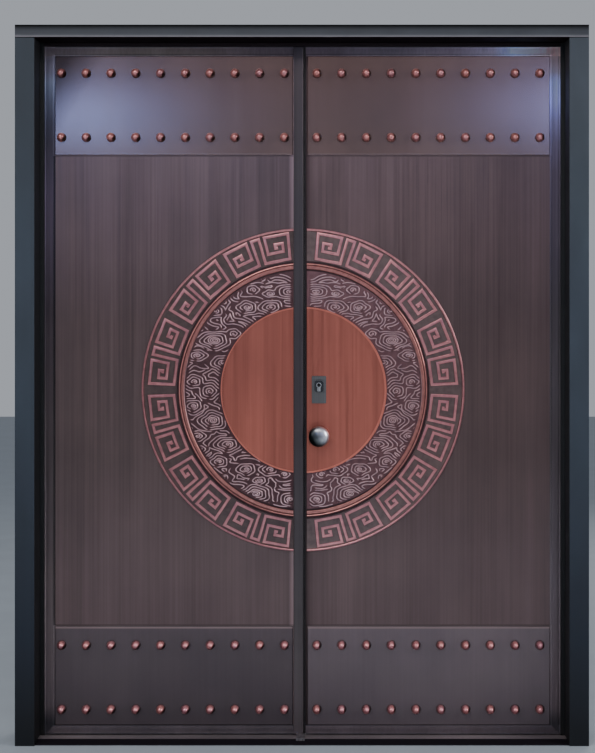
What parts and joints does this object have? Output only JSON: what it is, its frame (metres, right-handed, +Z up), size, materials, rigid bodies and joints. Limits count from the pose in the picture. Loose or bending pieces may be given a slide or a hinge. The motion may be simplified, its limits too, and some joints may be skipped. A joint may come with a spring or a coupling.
{
  "type": "double security door",
  "caption": "Pair of steel security leaves with stud bands and a round fret and cloud medallion, hung in a folded steel frame with a threshold, lock and slide bolts.",
  "frame": {"origin": "on the floor under the threshold, in the middle of the doorway's width and of the frame's depth", "axes": "+Z up, -Y towards the viewer outside, +X to the right seen from outside"},
  "size_m": [1.91, 0.2553, 2.4],
  "materials": {
    "frame_paint": "satin blue-grey paint",
    "seal_rubber": "matt black",
    "sill_steel": "brushed, worn",
    "hinge_steel": "brushed",
    "leaf_bronze": "vertically brushed dark plum bronze lacquer",
    "inner_face": "satin dark bronze lacquer",
    "band_bronze": "vertically brushed dark bronze lacquer",
    "stud_copper": "polished red copper",
    "relief_copper": "copper relief with a dark patinated ground",
    "disc_copper": "vertically brushed copper",
    "strip_grey": "satin slate grey",
    "core_fill": "honeycomb board",
    "lock_steel": "brushed",
    "guard_black": "satin black",
    "cylinder_nickel": "nickel plate",
    "knob_chrome": "satin chrome",
    "rose_bronze": "dark bronze"
  },
  "bodies": {
    "frame": {"jamb_left": "frame_paint", "jamb_right": "frame_paint", "head": "frame_paint", "threshold": "sill_steel", "centre_stop": "sill_steel", "frame_seal_left": "seal_rubber", "frame_seal_right": "seal_rubber", "frame_seal_top": "seal_rubber", "hinge_frame_halves_left": "hinge_steel", "hinge_frame_halves_right": "hinge_steel"},
    "left_leaf": {"front_skin_left": "leaf_bronze", "back_skin_left": "inner_face", "core_left": "core_fill", "top_band_left": "band_bronze", "bottom_band_left": "band_bronze", "studs_left": "stud_copper", "fret_ring_left": "relief_copper", "cloud_ring_left": "relief_copper", "disc_left": "disc_copper", "meeting_strip": "strip_grey", "strike_plate": "lock_steel", "top_bolt_case": "lock_steel", "bottom_bolt_case": "lock_steel", "hinge_leaf_halves_left": "hinge_steel", "meeting_seal_left": "seal_rubber"},
    "right_leaf": {"front_skin_right": "leaf_bronze", "back_skin_right": "inner_face", "core_right": "core_fill", "top_band_right": "band_bronze", "bottom_band_right": "band_bronze", "studs_right": "stud_copper", "fret_ring_right": "relief_copper", "cloud_ring_right": "relief_copper", "disc_right": "disc_copper", "lock_case": "lock_steel", "lock_faceplate": "lock_steel", "outside_lock_plate": "lock_steel", "inside_lock_plate": "lock_steel", "cylinder_guard": "guard_black", "lock_cylinder": "cylinder_nickel", "outside_rose": "rose_bronze", "inside_rose": "rose_bronze", "hinge_leaf_halves_right": "hinge_steel", "meeting_seal_right": "seal_rubber"},
    "knob": {"outside_knob": "knob_chrome", "inside_knob": "knob_chrome", "spindle": "lock_steel", "follower": "lock_steel"},
    "latch_bolt": {"latch": "lock_steel"},
    "key_turn": {"cylinder_plug": "cylinder_nickel", "thumb_turn": "cylinder_nickel"},
    "dead_bolts": {"deadbolts": "lock_steel"},
    "top_slide_bolt": {"top_bolt": "lock_steel"},
    "bottom_slide_bolt": {"bottom_bolt": "lock_steel"}
  },
  "joints": [
    {"name": "left_leaf_swing", "type": "hinge", "parent": "frame", "child": "left_leaf", "pos_m": [-0.888, 0.109, 0], "axis": [0, 0, 1], "range_deg": [0, 100]},
    {"name": "right_leaf_swing", "type": "hinge", "parent": "frame", "child": "right_leaf", "pos_m": [0.888, 0.109, 0], "axis": [0, 0, -1], "range_deg": [0, 100]},
    {"name": "knob_turn", "type": "hinge", "parent": "right_leaf", "child": "knob", "pos_m": [0.056, 0, 1.022], "axis": [0, 1, 0], "range_deg": [0, 45]},
    {"name": "latch_slide", "type": "slide", "parent": "right_leaf", "child": "latch_bolt", "axis": [-1, 0, 0], "range_m": [0, 0.014]},
    {"name": "key_turn", "type": "hinge", "parent": "right_leaf", "child": "key_turn", "pos_m": [0.056, 0, 1.195], "axis": [0, 1, 0], "range_deg": [0, 90]},
    {"name": "deadbolt_slide", "type": "slide", "parent": "right_leaf", "child": "dead_bolts", "axis": [-1, 0, 0], "range_m": [0, 0.02]},
    {"name": "top_bolt_slide", "type": "slide", "parent": "left_leaf", "child": "top_slide_bolt", "axis": [0, 0, 1], "range_m": [0, 0.018]},
    {"name": "bottom_bolt_slide", "type": "slide", "parent": "left_leaf", "child": "bottom_slide_bolt", "axis": [0, 0, -1], "range_m": [0, 0.0095]}
  ],
  "couplings": [
    {"joint": "latch_slide", "follows": "knob_turn", "m_per_rad": 0.0178},
    {"joint": "key_turn", "follows": "deadbolt_slide", "rad_per_m": 78.5}
  ]
}
